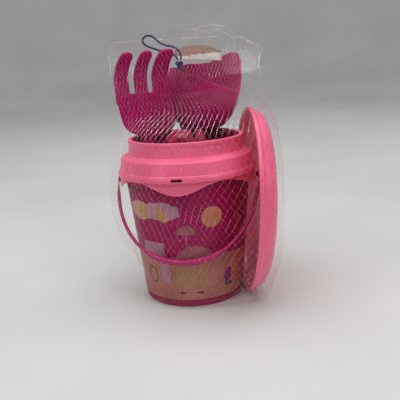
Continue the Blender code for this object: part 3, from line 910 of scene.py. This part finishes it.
def add_runs(parts, line, thicker=1.0):
    """Adds a strand to the net's parts, broken where it passes from one part to the other."""
    run = [line[0]]
    was = is_front(line[0])
    for at in line[1:]:
        now = is_front(at)
        run.append(at)
        if now != was:
            add_strand(parts, run, was, thicker)
            run = [at]
            was = now
    add_strand(parts, run, was, thicker)


def add_strand(parts, run, front, thicker):
    if len(run) > 1:
        points, faces = parts["front" if front else "back"]
        tube(points, faces, run, NET_STRAND * thicker)


def make_net_top(surface, material):
    """The net's open end: loose strands drawn together above the scoop, with frayed ends."""
    points = []
    faces = []
    high = surface.heights[-1]
    gather = SET_TURN @ (Vector(GATHER_AT) * MM)
    for strand in range(TOP_STRANDS):
        share = 0.42 + 0.5 * strand / TOP_STRANDS + random.uniform(-0.004, 0.004)
        start = surface.at(share, high)
        stray = (random.uniform(-16, 30), random.uniform(-8, 10), random.uniform(-4, 7))
        end = gather + Vector(stray) * MM
        lift = random.uniform(3, 9) * MM
        line = []
        for step in range(9):
            t = step / 8
            spot = start.lerp(end, t)
            spot.z += lift * math.sin(math.pi * t)
            wave = noise.noise(Vector((strand * 1.7, t * 4, 0.3)))
            push = noise.noise(Vector((t * 5, strand, 2)))
            spot += Vector((wave * 3.2, push * 3, wave * 1.5)) * MM
            spot.z = min(spot.z, GATHER_TOP * MM)
            line.append(spot)
        tube(points, faces, line, NET_STRAND * 0.95)
    mesh_piece("net_gathered_top", points, faces, material, "net")


# ---------------------------------------------------------------- cord, knot and tag


def make_cord(material):
    line = smooth_route(CORD_ROUTE)
    cord = curve_piece("drawcord_loop", line, CORD_DIAMETER / 2, material)
    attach(cord, "net")
    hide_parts("drawcord")
    return cord, line


def make_knot(material):
    """An overhand knot in the two ends of the loop, with two short tails."""
    centre = Vector(KNOT_AT) * MM
    line = []
    for k in range(64):
        t = math.tau * k / 64
        x = math.sin(t) + 1.9 * math.sin(2 * t)
        y = 1.6 * math.sin(3 * t)
        z = math.cos(t) - 1.9 * math.cos(2 * t)
        line.append(SET_TURN @ (centre + Vector((x * 1.25, y * 0.8, z * 1.1)) * MM))
    knot = curve_piece("knot_wraps", line, 1.15 * MM, material, closed=True)
    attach(knot, "net")
    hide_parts("cord_knot")
    for side, name in ((-1, "tail_left"), (1, "tail_right")):
        spots = ((1.2, 18.6, 252.5), (2.4, 18.2, 249.6), (3.0, 18.6, 246.6))
        ends = [(KNOT_AT[0] + side * out, y, z) for out, y, z in spots]
        tail = curve_piece(name, smooth_route(ends), 1.0 * MM, material)
        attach(tail, "net")
    return knot


def make_tag(front_material, back_material):
    """A blank card, curled a little and tipped to face the front, brown over a pale lower flap."""
    wide, tall = TAG_WIDE, TAG_TALL
    columns, rows = 26, 12
    stand = SET_TURN @ Matrix.Translation(Vector(TAG_AT) * MM)
    stand = stand @ Matrix.Rotation(TAG_LEAN, 4, "Y") @ Matrix.Rotation(TAG_TILT, 4, "X")
    points = []
    for j in range(rows + 1):
        for i in range(columns + 1):
            x = wide * (i / columns - 0.5)
            y = tall * (j / rows - 0.5)
            corner = 4.5 * max(0.0, abs(x) / wide - 0.2) ** 1.5 * max(0.0, y)
            z = 0.9 * math.cos(math.pi * x / wide) - 0.5 + 0.3 * math.sin(0.9 * y)
            points.append(stand @ (Vector((x, y - corner, z)) * MM))
    faces = []
    for j in range(rows):
        for i in range(columns):
            a = j * (columns + 1) + i
            faces.append((a, a + 1, a + columns + 2, a + columns + 1))
    tag = mesh_piece("tag_card", points, faces, front_material, "net")
    tag.data.materials.append(back_material)
    for face in tag.data.polygons:
        column = face.index % columns
        if face.index // columns < 3 + max(0, column - 8) * 0.25:
            face.material_index = 1
    thick = tag.modifiers.new("card", "SOLIDIFY")
    thick.thickness = 0.5 * MM
    thick.offset = 0
    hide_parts("hang_tag")


# ---------------------------------------------------------------- room


def make_room():
    """A pale floor that curves up far away, and soft light from above."""
    material, kinds, links, shader = new_material("floor_paint")
    patches = add_noise(kinds, links, 3, 4)
    paint = tones(kinds, links, patches, (0.60, 0.60, 0.58), (0.66, 0.66, 0.645))
    links.new(paint, shader.inputs["Base Color"])
    grain = add_noise(kinds, links, 60, 4)
    links.new(spread(kinds, links, grain, 0.5, 0.62), shader.inputs["Roughness"])
    sides = 64
    points = [Vector((0, 0, 0))]
    for radius, z in FLOOR_RINGS:
        for k in range(sides):
            a = math.tau * k / sides
            points.append(Vector((radius * math.cos(a), radius * math.sin(a), z)))
    faces = [(0, 1 + k, 1 + (k + 1) % sides) for k in range(sides)]
    for i in range(len(FLOOR_RINGS) - 1):
        a = 1 + i * sides
        for k in range(sides):
            n = (k + 1) % sides
            faces.append((a + k, a + sides + k, a + sides + n, a + n))
    mesh = bpy.data.meshes.new("floor")
    mesh.from_pydata([tuple(p) for p in points], [], faces)
    floor = add_object("floor", mesh)
    mesh.materials.append(material)
    mesh.shade_smooth()

    world = bpy.data.worlds.new("studio")
    bpy.context.scene.world = world
    world.use_nodes = True
    sky = world.node_tree.nodes["Background"]
    sky.inputs["Color"].default_value = WORLD_COLOUR
    sky.inputs["Strength"].default_value = WORLD_STRENGTH

    for name, at, toward, size, power in LIGHTS:
        add_light(name, at, toward, size, power)


def add_light(name, at, toward, size, power):
    light = bpy.data.lights.new(name, "AREA")
    light.shape = "RECTANGLE"
    light.size, light.size_y = size
    light.energy = power
    item = add_object(name, light)
    item.location = at
    item.rotation_euler = (Vector(toward) - Vector(at)).to_track_quat("-Z", "Y").to_euler()


# ---------------------------------------------------------------- assembly

make_camera()
fibre = braided_fibre("cord_fibre_blue", CORD_BLUE)
cord, cord_line = make_cord(fibre)
knot = make_knot(fibre)
make_room()

magenta = moulded_plastic("magenta_polypropylene", MAGENTA, 0.28, glow=0.10, gloss=0.07)
pink = moulded_plastic("pink_polypropylene", PINK, 0.30, glow=0.22, gloss=0.5)
make_bucket(moulded_plastic("tub_polypropylene", DEEP_MAGENTA, 0.33, glow=0.08, gloss=0.2))
# The studs' near-black plastic is painted shade of the snap windows' recesses
make_collar(pink, moulded_plastic("stud_painted_shade", STUD_RECESS_SHADE, 0.5))
make_label(printed_film("ink_sky", SKY))
make_label_art()
make_sieve(moulded_plastic("sieve_polypropylene", PINK, 0.30, glow=0.22, gloss=0.5))
bail_plastic = moulded_plastic("bail_polypropylene", MAGENTA, 0.30, glow=0.1, gloss=0.45)
soften("bail_handle", 0.6 * MM, 3, bail_plastic)
round_tines(soften("rake", 0.9 * MM, 5, magenta))
soften("scoop", 1.0 * MM, 3, magenta)
# The moulds' material carries painted shade: its dark red stands for their shadow inside the bucket
shaded_mould_plastic = moulded_plastic("mould_polypropylene_painted_shade", SHADED_MOULD_PINK, 0.36, glow=0.15, gloss=0.35)
soften("shell_mould", 0.8 * MM, 3, shaded_mould_plastic)
soften("star_mould", 0.8 * MM, 3, shaded_mould_plastic)

net_plastic = filament("net_polyethylene")
net_surface, net_parts = make_net(net_plastic)
make_net_top(net_surface, net_plastic)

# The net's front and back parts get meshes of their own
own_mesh(net_parts["front"])
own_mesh(net_parts["back"])
make_tag(card("tag_brown_card", CARD_BROWN), card("tag_pale_card", CARD_PALE))
